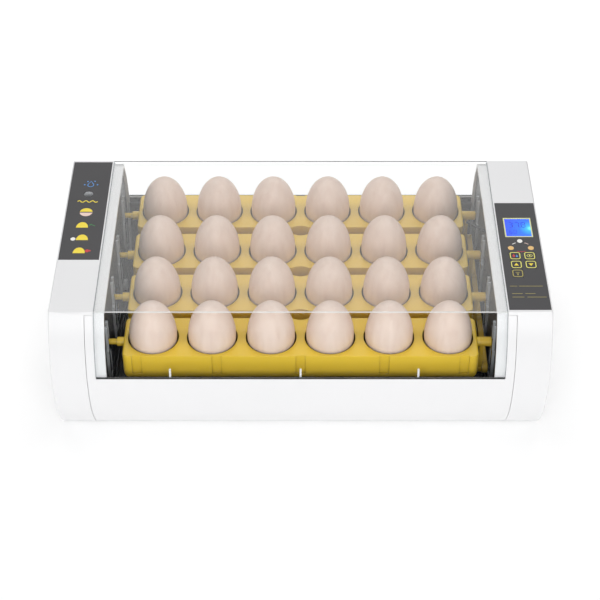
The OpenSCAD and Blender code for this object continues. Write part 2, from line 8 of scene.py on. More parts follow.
import bmesh
import bpy
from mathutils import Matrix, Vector


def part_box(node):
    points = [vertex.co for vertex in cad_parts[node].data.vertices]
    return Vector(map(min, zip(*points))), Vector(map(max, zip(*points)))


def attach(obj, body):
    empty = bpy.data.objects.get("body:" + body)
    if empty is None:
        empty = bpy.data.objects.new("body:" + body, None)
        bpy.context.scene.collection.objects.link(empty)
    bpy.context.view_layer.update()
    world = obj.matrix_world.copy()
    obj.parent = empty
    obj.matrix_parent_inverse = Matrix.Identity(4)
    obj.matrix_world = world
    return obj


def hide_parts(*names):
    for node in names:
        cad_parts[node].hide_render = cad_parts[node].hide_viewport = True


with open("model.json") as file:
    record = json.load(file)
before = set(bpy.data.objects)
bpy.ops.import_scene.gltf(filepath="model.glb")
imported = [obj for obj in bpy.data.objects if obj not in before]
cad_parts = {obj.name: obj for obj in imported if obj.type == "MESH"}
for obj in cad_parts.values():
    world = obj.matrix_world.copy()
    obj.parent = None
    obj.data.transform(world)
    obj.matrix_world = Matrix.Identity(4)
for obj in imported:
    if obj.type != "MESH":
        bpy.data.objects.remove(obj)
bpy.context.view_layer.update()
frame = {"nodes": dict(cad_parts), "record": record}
NODES = frame["nodes"]
MM = 0.001

# ---------- sizes that the pieces below share ----------

# read from the frame
COVER_LOW, COVER_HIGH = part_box("cover")
LCD_LOW, LCD_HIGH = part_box("lcd_screen")
CAP_LOW, CAP_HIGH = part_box("end_cap_right")
TUB_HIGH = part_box("water_tub")[1]
LABEL_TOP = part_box("label_left")[1].z

# the same values as in the CAD source
COVER_T = 2.5 * MM  # thickness of the acrylic
BELLY_R = 114 * MM  # radius of the bellied front and back walls
BELLY_Z = 79 * MM  # height of their axes
BELLY_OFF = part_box("base_shell")[1].y - BELLY_R  # distance of each axis from the middle plane
TRAY_HALF = 27.2 * MM  # half the depth of a tray
RIM_Z = 87 * MM  # top of the housing's rim
KEYS = ["heat", "turn", "up", "down", "set"]
TRAY_ROWS = [1, 2, 3, 4]
EGGS_PER_ROW = 6


def middle(node):
    low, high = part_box(node)
    return (low + high) / 2


# ---------- materials ----------


def srgb(red, green, blue):
    """Linear colour from 0 to 255 values as seen on a screen."""
    def linear(value):
        share = value / 255
        return share / 12.92 if share <= 0.04045 else ((share + 0.055) / 1.055) ** 2.4
    return (linear(red), linear(green), linear(blue), 1.0)


def shade(colour, factor):
    return tuple(min(1.0, channel * factor) for channel in colour[:3]) + (1.0,)


class Finish:
    """A material with its node tree, and short ways to add what varies over the surface."""

    def __init__(self, name):
        self.material = bpy.data.materials.new(name)
        self.material.use_nodes = True
        self.tree = self.material.node_tree
        self.shader = self.tree.nodes["Principled BSDF"]
        self.output = self.tree.nodes["Material Output"]
        self.place = self.tree.nodes.new("ShaderNodeTexCoord").outputs["Object"]

    def node(self, kind, **inputs):
        made = self.tree.nodes.new("ShaderNode" + kind)
        for key, value in inputs.items():
            made.inputs[key.replace("_", " ")].default_value = value
        return made

    def link(self, source, target):
        self.tree.links.new(source, target)

    def noise(self, scale, detail=3.0, stretch=(1, 1, 1)):
        mapping = self.node("Mapping", Scale=stretch)
        self.link(self.place, mapping.inputs["Vector"])
        made = self.node("TexNoise", Scale=scale, Detail=detail)
        self.link(mapping.outputs["Vector"], made.inputs["Vector"])
        return made.outputs["Fac"]

    def ramp(self, source, stops):
        made = self.node("ValToRGB")
        points = made.color_ramp.elements
        while len(points) < len(stops):
            points.new(0.5)
        for point, (position, colour) in zip(points, stops):
            point.position = position
            point.color = colour
        self.link(source, made.inputs["Fac"])
        return made.outputs["Color"]

    def mottle(self, colour, spread, scale, detail=3.0, stretch=(1, 1, 1)):
        """Base colour that wanders a little darker and lighter."""
        stops = [(0.3, shade(colour, 1 - spread)), (0.7, shade(colour, 1 + spread))]
        self.link(self.ramp(self.noise(scale, detail, stretch), stops), self.shader.inputs["Base Color"])

    def gloss(self, low, high, scale):
        """Roughness that wanders between two values."""
        made = self.node("MapRange", To_Min=low, To_Max=high)
        self.link(self.noise(scale, 4.0), made.inputs["Value"])
        self.link(made.outputs["Result"], self.shader.inputs["Roughness"])

    def grain(self, scale, distance, detail=2.0, stretch=(1, 1, 1)):
        """Fine relief of the moulded or worked surface."""
        made = self.node("Bump", Strength=1.0, Distance=distance)
        self.link(self.noise(scale, detail, stretch), made.inputs["Height"])
        self.link(made.outputs["Normal"], self.shader.inputs["Normal"])

    def paint_recess_shade(self, reach):
        """Painted shade: darken the base colour in grooves, gaps and corners, where shade falls."""
        colour = self.shader.inputs["Base Color"].links[0].from_socket
        recess_shade = self.node("AmbientOcclusion", Distance=reach)
        recess_shade.samples = 6
        painted_shade = self.ramp(recess_shade.outputs["AO"], [(0.2, (0.28, 0.27, 0.26, 1)), (0.8, (1, 1, 1, 1))])
        blend = self.node("Mix", Factor=1.0)
        blend.data_type = "RGBA"
        blend.blend_type = "MULTIPLY"
        self.link(colour, blend.inputs["A"])
        self.link(painted_shade, blend.inputs["B"])
        self.link(blend.outputs["Result"], self.shader.inputs["Base Color"])

    def set(self, **inputs):
        for key, value in inputs.items():
            self.shader.inputs[key.replace("_", " ")].default_value = value


def moulded(name, colour, rough=(0.3, 0.4), spread=0.02, grain=0.000006, recess_shade=0.0):
    """Injection-moulded plastic: faint flow marks in the colour, uneven gloss and a fine skin, and
    painted shade in its recesses where a reach for it is given.
    """
    finish = Finish(name)
    finish.mottle(colour, spread, 9.0, detail=2.0, stretch=(0.6, 1, 1))
    finish.gloss(rough[0], rough[1], 30.0)
    if grain:
        finish.grain(1600.0, grain)
    # painted shade: the colour darkens in grooves, gaps and corners
    if recess_shade:
        finish.paint_recess_shade(recess_shade)
    finish.set(IOR=1.5)
    return finish.material


def metal(name, colour, rough=(0.25, 0.4)):
    """Plated or brushed steel with fine lines."""
    lines = (1, 1, 30)
    finish = Finish(name)
    finish.mottle(colour, 0.08, 90.0, stretch=lines)
    finish.gloss(rough[0], rough[1], 220.0)
    finish.grain(900.0, 0.00001, stretch=lines)
    finish.set(Metallic=1.0)
    return finish.material


def rubber(name, colour, rough=(0.6, 0.8)):
    finish = Finish(name)
    finish.mottle(colour, 0.12, 160.0)
    finish.gloss(rough[0], rough[1], 300.0)
    finish.grain(1800.0, 0.00005)
    return finish.material


def egg_shell():
    """Cream-pink shell: faint lengthwise streaks, pale flecks and pores."""
    finish = Finish("egg_shell")
    cloud = finish.ramp(finish.noise(150.0, 3.0, stretch=(1, 1, 0.06)), [
        (0.30, srgb(225, 201, 187)), (0.50, srgb(230, 208, 194)), (0.72, srgb(235, 214, 201)),
    ])
    flecks = finish.ramp(finish.noise(1100.0, 2.0), [(0.60, (0, 0, 0, 1)), (0.72, (1, 1, 1, 1))])
    blend = finish.node("Mix")
    blend.data_type = "RGBA"
    finish.link(flecks, blend.inputs["Factor"])
    finish.link(cloud, blend.inputs["A"])
    blend.inputs["B"].default_value = srgb(241, 227, 217)
    finish.link(blend.outputs["Result"], finish.shader.inputs["Base Color"])
    finish.gloss(0.42, 0.52, 140.0)
    finish.grain(1500.0, 0.00006, detail=5.0)
    finish.set(IOR=1.5, Subsurface_Weight=0.06)
    finish.set(Subsurface_Scale=2 * MM, Subsurface_Radius=(1.0, 0.7, 0.5))
    return finish.material


def clear_sheet(name, tint, reflect=1.0, haze=0.0):
    """Polished acrylic: clear, and mirroring more at a glancing angle. A haze is a thin film of dust."""
    finish = Finish(name)
    finish.tree.nodes.remove(finish.shader)
    through = finish.node("BsdfTransparent", Color=tint)
    mirror = finish.node("BsdfGlossy", Color=(1, 1, 1, 1), Roughness=0.02)
    facing = finish.node("LayerWeight", Blend=0.5)
    power = finish.node("Math")
    power.operation = "POWER"
    power.inputs[1].default_value = 5.0
    finish.link(facing.outputs["Facing"], power.inputs[0])
    share = finish.node("MapRange", To_Min=0.04 * reflect, To_Max=reflect)
    finish.link(power.outputs["Value"], share.inputs["Value"])
    mix = finish.node("MixShader")
    finish.link(share.outputs["Result"], mix.inputs[0])
    finish.link(through.outputs[0], mix.inputs[1])
    finish.link(mirror.outputs[0], mix.inputs[2])
    surface = mix
    if haze:
        film = finish.node("BsdfDiffuse", Color=(0.92, 0.92, 0.91, 1))
        smear = finish.node("MapRange", From_Min=0.35, From_Max=0.65)
        smear.inputs["To Min"].default_value = 0.9 * haze
        smear.inputs["To Max"].default_value = 1.1 * haze
        finish.link(finish.noise(9.0, 2.0), smear.inputs["Value"])
        surface = finish.node("MixShader")
        finish.link(smear.outputs["Result"], surface.inputs[0])
        finish.link(mix.outputs[0], surface.inputs[1])
        finish.link(film.outputs[0], surface.inputs[2])
    finish.link(surface.outputs[0], finish.output.inputs["Surface"])
    return finish.material


def cut_edge(name, colour, cover):
    """Edge or bend of the acrylic, which reads as a line; the front bend's pale line is painted
    highlight, the dark lines of the back bend and the feet painted shade. A cover of 1 hides all that
    lies behind it.
    """
    finish = Finish(name)
    finish.mottle(colour, 0.03, 30.0)
    finish.gloss(0.3, 0.4, 40.0)
    through = finish.node("BsdfTransparent", Color=(0.95, 0.97, 0.98, 1))
    mix = finish.node("MixShader", Fac=cover)
    finish.link(through.outputs[0], mix.inputs[1])
    finish.link(finish.shader.outputs[0], mix.inputs[2])
    finish.link(mix.outputs[0], finish.output.inputs["Surface"])
    return finish.material


def guide_plastic():
    """Smoky clear moulding, coloured by which way each face points: its broad faces are dark where they
    show the dark panel, and its thin edges carry a painted pale highlight where the thickness catches
    the light.
    """
    finish = Finish("guide_plastic")
    geometry = finish.node("NewGeometry")
    parts = finish.node("SeparateXYZ")
    finish.link(geometry.outputs["True Normal"], parts.inputs[0])
    size = finish.node("Math")
    size.operation = "ABSOLUTE"
    finish.link(parts.outputs["X"], size.inputs[0])
    # painted highlight: faces that do not point along x, the thin edges, are painted pale
    painted_tone = finish.ramp(size.outputs[0], [(0.35, srgb(190, 193, 196)), (0.8, srgb(72, 75, 80))])
    finish.link(painted_tone, finish.shader.inputs["Base Color"])
    finish.gloss(0.15, 0.25, 120.0)
    finish.grain(700.0, 0.00002)
    return finish.material


def display():
    """Lit blue display with a brighter patch where its lamp sits."""
    finish = Finish("lcd_glass")
    lamp_reach = 26 * MM
    gap = finish.node("VectorMath")
    gap.operation = "DISTANCE"
    gap.inputs[1].default_value = (LCD_HIGH.x, (LCD_LOW.y + LCD_HIGH.y) / 2 - MM, LCD_HIGH.z)
    finish.link(finish.place, gap.inputs[0])
    share = finish.node("MapRange", From_Min=0.0, From_Max=lamp_reach)
    finish.link(gap.outputs["Value"], share.inputs["Value"])
    glow = finish.ramp(share.outputs["Result"], [
        (0.0, srgb(120, 232, 246)),
        (0.16, srgb(58, 160, 244)),
        (0.42, srgb(50, 108, 240)),
        (1.0, srgb(56, 82, 222)),
    ])
    finish.link(glow, finish.shader.inputs["Base Color"])
    finish.link(glow, finish.shader.inputs["Emission Color"])
    finish.gloss(0.08, 0.14, 200.0)
    finish.set(Emission_Strength=0.6, IOR=1.25)
    return finish.material


def ink(name, colour):
    finish = Finish(name)
    finish.mottle(colour, 0.04, 900.0)
    finish.gloss(0.4, 0.5, 500.0)
    return finish.material


def circuit_board():
    """Green lacquer over copper tracks."""
    finish = Finish("circuit_board")
    tracks = finish.node("TexBrick", Scale=90.0, Color1=srgb(24, 92, 52), Color2=srgb(34, 110, 62),
                         Mortar=srgb(70, 140, 78), Mortar_Size=0.03)
    finish.link(finish.place, tracks.inputs["Vector"])
    finish.link(tracks.outputs["Color"], finish.shader.inputs["Base Color"])
    finish.gloss(0.2, 0.35, 300.0)
    return finish.material


PLASTICS = {
    "white_shell": dict(colour=srgb(231, 231, 232), rough=(0.26, 0.32), spread=0.008, grain=0.0),
    "plate_plastic": dict(colour=srgb(214, 215, 217), rough=(0.45, 0.6), grain=0.00006),
    "dark_panel": dict(colour=srgb(64, 66, 70), rough=(0.42, 0.5), spread=0.03),
    "dark_tub": dict(colour=srgb(52, 54, 57), rough=(0.42, 0.5), spread=0.03),
    # the trays and links carry painted shade in their grooves, in the gaps and between the eggs
    "tray_yellow": dict(colour=srgb(235, 199, 62), rough=(0.26, 0.36), spread=0.03, recess_shade=12 * MM),
    "link_yellow": dict(colour=srgb(222, 184, 58), rough=(0.3, 0.42), spread=0.03, recess_shade=8 * MM),
    "fan_black": dict(colour=srgb(40, 41, 44), rough=(0.4, 0.55), spread=0.08),
    "heater_mica": dict(colour=srgb(168, 128, 86), rough=(0.5, 0.7), spread=0.2, grain=0.0001),
    "tube_plastic": dict(colour=srgb(206, 208, 210), rough=(0.25, 0.35)),
    "label_film": dict(colour=srgb(64, 63, 65), rough=(0.46, 0.54)),
    "lcd_frame": dict(colour=srgb(222, 226, 168), rough=(0.2, 0.3)),
    "switch_plastic": dict(colour=srgb(52, 53, 56), rough=(0.5, 0.6)),
    "inlet_black": dict(colour=srgb(36, 37, 40), rough=(0.4, 0.5), spread=0.06, grain=0.00005),
    "key_plastic": dict(colour=srgb(50, 49, 50), rough=(0.46, 0.54), spread=0.04),
}
METALS = {
    "steel": dict(colour=srgb(198, 199, 202)),
    "motor_steel": dict(colour=srgb(190, 191, 194), rough=(0.35, 0.5)),
    "guard_steel": dict(colour=srgb(176, 178, 182), rough=(0.15, 0.25)),
}
RUBBERS = {
    "sensor_black": dict(colour=srgb(44, 45, 48)),
    "wire_sleeve": dict(colour=srgb(150, 48, 40), rough=(0.4, 0.5)),
    "foot_rubber": dict(colour=srgb(66, 66, 68)),
}
MATERIALS = {
    "guide_plastic": guide_plastic(),
    "clear_cover": clear_sheet("clear_cover", (0.985, 0.99, 0.99, 1), reflect=0.06),
    "egg_shell": egg_shell(),
    "lcd_glass": display(),
    "circuit_board": circuit_board(),
}
for make, looks in ((moulded, PLASTICS), (metal, METALS), (rubber, RUBBERS)):
    MATERIALS.update({slot: make(slot, **look) for slot, look in looks.items()})

CLEAR_TOP = clear_sheet("clear_cover_top", (0.985, 0.987, 0.985, 1), haze=0.012)
CLEAR_EDGES = {
    name: cut_edge("acrylic_" + name, colour, cover)
    for name, colour, cover in (
        # painted highlight: the front bend is painted pale, a line of light along the edge
        ("front_bend_highlight", srgb(226, 227, 226), 0.8),
        # painted shade: the back bend is painted dark, a line of shade along the edge
        ("back_bend_shade", srgb(84, 85, 87), 0.85),
        ("cut", srgb(176, 180, 182), 0.35),
        # painted shadow: the feet are painted dark, the shadow gap where the cover stands on the rim
        ("foot", srgb(40, 41, 43), 0.9),
    )
}
INKS = {
    name: ink("ink_" + name, colour)
    for name, colour in (
        ("blue", srgb(86, 146, 214)),
        ("yellow", srgb(246, 221, 62)),
        ("pale_yellow", srgb(233, 228, 120)),
        ("white", srgb(244, 242, 238)),
        ("blush", srgb(240, 210, 196)),
        ("peach", srgb(232, 190, 122)),
        ("green", srgb(62, 130, 74)),
        ("red", srgb(204, 52, 62)),
        ("tan", srgb(176, 164, 92)),
        ("deep_blue", srgb(26, 50, 168)),
    )
}


def paint_frame():
    """Give every CAD node the material of its slot in the record."""
    for part in frame["record"]["subparts"]:
        slots = NODES[part["node"]].data.materials
        slots.clear()
        slots.append(MATERIALS[part["material_slot"]])


# ---------- mesh helpers ----------


def make_piece(name, bm, body, materials, smooth_angle=30, rounds=None):
    """Turn a bmesh into a piece that rides on a body.

    rounds is a face layer that marks rounded edges; without it, edges past smooth_angle are sharp.
    """
    mesh = bpy.data.meshes.new(name)
    bmesh.ops.recalc_face_normals(bm, faces=bm.faces)
    normals = corner_normals(bm, rounds) if rounds else None
    bm.to_mesh(mesh)
    bm.free()
    for material in materials:
        mesh.materials.append(material)
    mesh.polygons.foreach_set("use_smooth", [True] * len(mesh.polygons))
    if normals:
        mesh.normals_split_custom_set(normals)
    else:
        mesh.set_sharp_from_angle(angle=math.radians(smooth_angle))
    piece = bpy.data.objects.new(name, mesh)
    bpy.context.scene.collection.objects.link(piece)
    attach(piece, body)
    return piece


def corner_normals(bm, rounds):
    """A normal for each face corner that keeps flat faces flat beside their rounded edges."""
    bm.normal_update()
    normals = []
    for face in bm.faces:
        reach = math.cos(math.radians(80 if face[rounds] else 30))  # how far a neighbour may turn away
        for loop in face.loops:
            around = [near for near in loop.vert.link_loops if near.face.normal.dot(face.normal) > reach]
            main = [near for near in around if not near.face[rounds]]
            total = Vector()
            for near in main or around or [loop]:
                total += near.face.normal * near.calc_angle()
            normals.append(total.normalized())
    return normals


def softened(node, body, slot, radius, wide_at=None, wide_radius=0.0):
    """The CAD node's own shape with its sharp edges rounded.

    Sharp edges whose corners both pass the test wide_at get wide_radius; the other ones get radius.
    """
    bm = bmesh.new()
    bm.from_mesh(NODES[node].data)
    bmesh.ops.remove_doubles(bm, verts=bm.verts, dist=0.002 * MM)
    bmesh.ops.dissolve_limit(bm, angle_limit=math.radians(0.03), verts=bm.verts, edges=bm.edges)
    rounds = bm.faces.layers.int.new("rounds")

    def sharp(edge):
        return edge.is_manifold and edge.calc_face_angle() > math.radians(28)

    def round_off(edges, offset, segments):
        made = bmesh.ops.bevel(
            bm, geom=edges, offset=offset, offset_type="OFFSET", segments=segments, profile=0.5,
            affect="EDGES", clamp_overlap=True,
        )
        for face in made["faces"]:
            face[rounds] = 1

    if wide_at:
        wide = [e for e in bm.edges if sharp(e) and all(wide_at(v.co) for v in e.verts)]
        round_off(wide, wide_radius, 4)
    plain = [e for e in bm.edges if sharp(e) and not any(f[rounds] for f in e.link_faces)]
    round_off(plain, radius, 2)
    piece = make_piece(node + "_soft", bm, body, [MATERIALS[slot]], rounds=rounds)
    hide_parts(node)


def same(first, second):
    """True for lengths that agree but for rounding in the CAD mesh."""
    return abs(first - second) < 0.1 * MM


def on_cap_rim(point):
    """True for a corner on the outline of an end cap's outer face."""
    at_level = same(point.z, CAP_HIGH.z) or same(point.z, CAP_LOW.z)
    from_axis = math.hypot(abs(point.y) - BELLY_OFF, point.z - BELLY_Z)
    on_belly = abs(from_axis - BELLY_R) < 0.15 * MM
    return same(abs(point.x), CAP_HIGH.x) and (at_level or on_belly)


def soft_housing():
    """Caps with rounded outer edges, and the centre housing with a fine round along its rim."""
    for node in ("end_cap_left", "end_cap_right"):
        softened(node, "base", "white_shell", 0.3 * MM, on_cap_rim, 2.2 * MM)
    softened("base_shell", "base", "white_shell", 0.3 * MM)


def soft_tray(number):
    """A tray with rolled bottom edges and small rounds elsewhere, and the lever that turns it."""
    node = f"tray_{number}"
    centre_y = middle(f"eggs_{number}").y
    floor_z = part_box(node)[0].z

    def on_bottom_edge(point):
        return same(point.z, floor_z) and abs(point.y - centre_y) > TRAY_HALF - 0.1 * MM

    softened(node, node, "tray_yellow", 0.45 * MM, on_bottom_edge, 2.0 * MM)
    softened(f"lever_{number}", node, "link_yellow", 0.4 * MM)


# ---------- eggs ----------

EGG_BLUNT_H = 21.5 * MM  # from the blunt end up to the widest ring
EGG_FULLNESS = 0.035  # how much fuller than an ellipse the pointed half is
EGG_RINGS = 40
EGG_SIDES = 48


def egg_ring(share, below, above, radius):
    """Height from the widest ring, and radius, at a share of the way up from the blunt end."""
    t = math.pi * (share - 0.5)
    height = math.sin(t) * (above if t > 0 else below)
    swell = 1 + (EGG_FULLNESS * math.sin(2 * t) if t > 0 else 0)
    return height, radius * math.cos(t) * swell


def add_egg(bm, x, y, low_z, high_z, radius):
    """An egg that stands on its blunt end."""
    widest_z = low_z + EGG_BLUNT_H
    angles = [2 * math.pi * side / EGG_SIDES for side in range(EGG_SIDES)]
    loops = []
    for ring in range(1, EGG_RINGS):
        height, r = egg_ring(ring / EGG_RINGS, EGG_BLUNT_H, high_z - widest_z, radius)
        loops.append([
            bm.verts.new((x + r * math.cos(a), y + r * math.sin(a), widest_z + height)) for a in angles
        ])
    bottom = bm.verts.new((x, y, low_z))
    top = bm.verts.new((x, y, high_z))
    for side in range(EGG_SIDES):
        after = (side + 1) % EGG_SIDES
        bm.faces.new((bottom, loops[0][after], loops[0][side]))
        bm.faces.new((top, loops[-1][side], loops[-1][after]))
        for lower, upper in zip(loops, loops[1:]):
            bm.faces.new((lower[side], lower[after], upper[after], upper[side]))


def egg_row(number):
    """Six eggs in the cups of one tray."""
    low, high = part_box(f"eggs_{number}")
    radius = (high.y - low.y) / 2
    pitch = (high.x - low.x - 2 * radius) / (EGGS_PER_ROW - 1)
    bm = bmesh.new()
    for index in range(EGGS_PER_ROW):
        add_egg(bm, low.x + radius + index * pitch, (low.y + high.y) / 2, low.z, high.z, radius)
    piece = make_piece(f"egg_row_{number}", bm, f"tray_{number}", [MATERIALS["egg_shell"]], 80)
    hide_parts(f"eggs_{number}")


# ---------- clear cover ----------

BEND_OUTER_R = 1.4 * MM
BEND_INNER_R = 0.7 * MM
# a bend's look is a painted highlight line at the front and a painted shade line at the back
BEND_LINE = 1.1 * MM  # how far the look of a bend reaches on into the top
CUT_BEVEL = 0.3 * MM  # chamfer of the acrylic's end edges


def cover_half_section(inset, bend_r):
    """(y, z) points of the back wall from its bottom up, and of its bend on into the top."""
    r = BELLY_R - inset
    top = COVER_HIGH.z - inset
    # the bend is a circle that touches the wall from inside and the top from below
    centre_z = top - bend_r
    bend_start = math.asin((centre_z - BELLY_Z) / (r - bend_r))
    centre_y = BELLY_OFF + (r - bend_r) * math.cos(bend_start)
    wall_start = math.asin((COVER_LOW.z - BELLY_Z) / r)
    wall_steps, bend_steps = 28, 5
    wall = []
    for i in range(wall_steps + 1):
        a = wall_start + (bend_start - wall_start) * i / wall_steps
        wall.append((BELLY_OFF + r * math.cos(a), BELLY_Z + r * math.sin(a)))
    bend = []
    for i in range(1, bend_steps + 1):
        a = bend_start + (math.pi / 2 - bend_start) * i / bend_steps
        bend.append((centre_y + bend_r * math.cos(a), centre_z + bend_r * math.sin(a)))
    bend.append((centre_y - BEND_LINE, top))
    return wall, bend


def front_to_back(half):
    """A whole section from its back half: up the front wall, along the top and down the back wall."""
    return [(-y, z) for y, z in half] + list(reversed(half))


def make_cover():
    """Bent acrylic shell: clear walls, a slightly hazy top, fine bends between them and cut edges; the
    front bend is painted as a pale highlight line, the back bend and the feet as dark painted shade.
    """
    wall, bend = cover_half_section(0, BEND_OUTER_R)
    inner_wall, inner_bend = cover_half_section(COVER_T, BEND_INNER_R)
    outer = front_to_back(wall + bend)
    inner = front_to_back(inner_wall + inner_bend)
    bend_first = len(wall) - 1
    top_first = bend_first + len(bend)
    strips = len(outer) - 1
    looks = [MATERIALS["clear_cover"], CLEAR_TOP] + list(CLEAR_EDGES.values())
    wall_look, top_look, front_bend_highlight, back_bend_shade, cut_look, foot_shade_look = range(len(looks))
    bm = bmesh.new()

    def loop(x, points, pull):
        """The section's points at x, pulled outwards from the wall's axis."""
        made = []
        for y, z in points:
            away = Vector((y - math.copysign(BELLY_OFF, y), z - BELLY_Z)).normalized()
            made.append(bm.verts.new((x, y + pull * away.x, z + pull * away.y)))
        return made

    def end_loops(sign):
        x_end = sign * COVER_HIGH.x
        x_bevel = x_end - sign * CUT_BEVEL
        return {
            "outer_in": loop(x_bevel, outer, 0),
            "outer": loop(x_end, outer, -CUT_BEVEL),
            "inner": loop(x_end, inner, CUT_BEVEL),
            "inner_in": loop(x_bevel, inner, 0),
        }

    def looks_of(i):
        """Outer and inner look of the strip that follows point i of the section."""
        from_foot = min(i, strips - 1 - i)
        if from_foot < bend_first:
            return wall_look, wall_look
        if from_foot >= top_first:
            return top_look, top_look
        # the back bend gets the painted shade line, the front bend's outer face the painted highlight
        # line
        if i > strips / 2:
            return back_bend_shade, top_look
        return (top_look if from_foot == top_first - 1 else front_bend_highlight), top_look

    def strip(first, second, i, look):
        face = bm.faces.new((first[i], first[i + 1], second[i + 1], second[i]))
        face.material_index = look

    left, right = end_loops(-1), end_loops(1)
    for i in range(strips):
        outer_look, inner_look = looks_of(i)
        strip(left["outer_in"], right["outer_in"], i, outer_look)
        strip(right["inner_in"], left["inner_in"], i, inner_look)
        for end in (left, right):
            strip(end["outer"], end["outer_in"], i, cut_look)
            strip(end["inner"], end["outer"], i, cut_look)
            strip(end["inner_in"], end["inner"], i, cut_look)
    for i in (0, strips):
        foot = [left[edge][i] for edge in ("outer_in", "outer", "inner", "inner_in")]
        foot += [right[edge][i] for edge in ("inner_in", "inner", "outer", "outer_in")]
        # the feet carry the painted shadow gap
        bm.faces.new(foot).material_index = foot_shade_look
    piece = make_piece("clear_cover_shell", bm, "cover", looks)
    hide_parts("cover")


# ---------- tub lip ----------

LIP_INSETS = (3.1 * MM, 3.7 * MM)  # its back and front faces, from the housing's outer face
LIP_DROP = 0.8 * MM  # from the rim down to its top
LIP_END_GAP = 3.2 * MM


def make_tub_lip():
    """Thin dark lip of the tub that lines the inside of the rim at the back."""
    half_x = TUB_HIGH.x - LIP_END_GAP
    low_z, high_z = TUB_HIGH.z, RIM_Z - LIP_DROP
    steps = 6
    bm = bmesh.new()
    rings = []
    for step in range(steps + 1):
        z = low_z + (high_z - low_z) * step / steps
        back_y, front_y = (
            BELLY_OFF + math.sqrt((BELLY_R - inset) ** 2 - (z - BELLY_Z) ** 2) for inset in LIP_INSETS
        )
        corners = ((-half_x, back_y), (half_x, back_y), (half_x, front_y), (-half_x, front_y))
        rings.append([bm.verts.new((x, y, z)) for x, y in corners])
    for lower, upper in zip(rings, rings[1:]):
        for i in range(4):
            after = (i + 1) % 4
            bm.faces.new((lower[i], lower[after], upper[after], upper[i]))
    bm.faces.new(rings[0])
    bm.faces.new(rings[-1])
    make_piece("tub_lip_back", bm, "base", [MATERIALS["dark_tub"]])


# ---------- printed symbols ----------

PRINT_T = 0.05 * MM


class Print:
    """Thin printed shapes on a flat top. Points are millimetres in the CAD frame."""

    def __init__(self, name, z, body, slot):
        self.name, self.z, self.body, self.slot = name, z, body, slot
        self.bm = bmesh.new()
        self.inks = []

    def ink_index(self, colour):
        if colour not in self.inks:
            self.inks.append(colour)
        return self.inks.index(colour)

    def slab(self, faces, colour):
        """A closed thin solid over flat faces, each a list of points; neighbours share their corners."""
        index = self.ink_index(colour)
        verts = {}

        def vert(point, level):
            key = (round(point[0], 5), round(point[1], 5), level)
            if key not in verts:
                z = self.z + (PRINT_T if level else 0.0)
                verts[key] = self.bm.verts.new((point[0] * MM, point[1] * MM, z))
            return verts[key]

        edges = {}
        for face in faces:
            for a, b in zip(face, face[1:] + face[:1]):
                key = (tuple(round(v, 5) for v in a), tuple(round(v, 5) for v in b))
                edges[key] = (a, b)
            self.bm.faces.new([vert(p, 1) for p in face]).material_index = index
            self.bm.faces.new([vert(p, 0) for p in reversed(face)]).material_index = index
        for (key_a, key_b), (a, b) in edges.items():
            if (key_b, key_a) not in edges:
                side = (vert(a, 0), vert(b, 0), vert(b, 1), vert(a, 1))
                self.bm.faces.new(side).material_index = index

    def patch(self, outline, colour):
        self.slab([outline], colour)

    def band(self, path, width, colour, closed=False):
        """A line of the given width along a path."""
        count = len(path)
        left, right = [], []
        for i, (x, y) in enumerate(path):
            before = path[i - 1] if closed or i > 0 else path[i]
            after = path[(i + 1) % count] if closed or i < count - 1 else path[i]
            along = Vector((after[0] - before[0], after[1] - before[1])).normalized()
            left.append((x - along.y * width / 2, y + along.x * width / 2))
            right.append((x + along.y * width / 2, y - along.x * width / 2))
        quads = []
        for i in range(count if closed else count - 1):
            after = (i + 1) % count
            quads.append([right[i], right[after], left[after], left[i]])
        self.slab(quads, colour)

    def done(self):
        make_piece(self.name, self.bm, self.body, [INKS[colour] for colour in self.inks])


def arc(cx, cy, rx, ry, start=0.0, end=360.0, steps=28):
    """Points on an ellipse; a full turn leaves its last point out."""
    full = abs(end - start) >= 360
    count = steps if full else steps + 1
    angles = [math.radians(start + (end - start) * i / steps) for i in range(count)]
    return [(cx + rx * math.cos(a), cy + ry * math.sin(a)) for a in angles]


def drop_outline(cx, cy, size):
    """A water drop: round below and pointed above."""
    points = arc(cx, cy, size, size, 150, 390, 20)
    return points + [(cx, cy + 2.1 * size)]


def rounded_box(cx, cy, w, d, r):
    points = []
    for sx, sy, start in ((1, 1, 0), (-1, 1, 90), (-1, -1, 180), (1, -1, 270)):
        points += arc(cx + sx * (w / 2 - r), cy + sy * (d / 2 - r), r, r, start, start + 90, 5)
    return points


def wave_line(cx, cy, length, height, waves):
    steps = 40
    return [
        (cx + length * (i / steps - 0.5), cy + height / 2 * math.sin(2 * math.pi * waves * i / steps))
        for i in range(steps + 1)
    ]


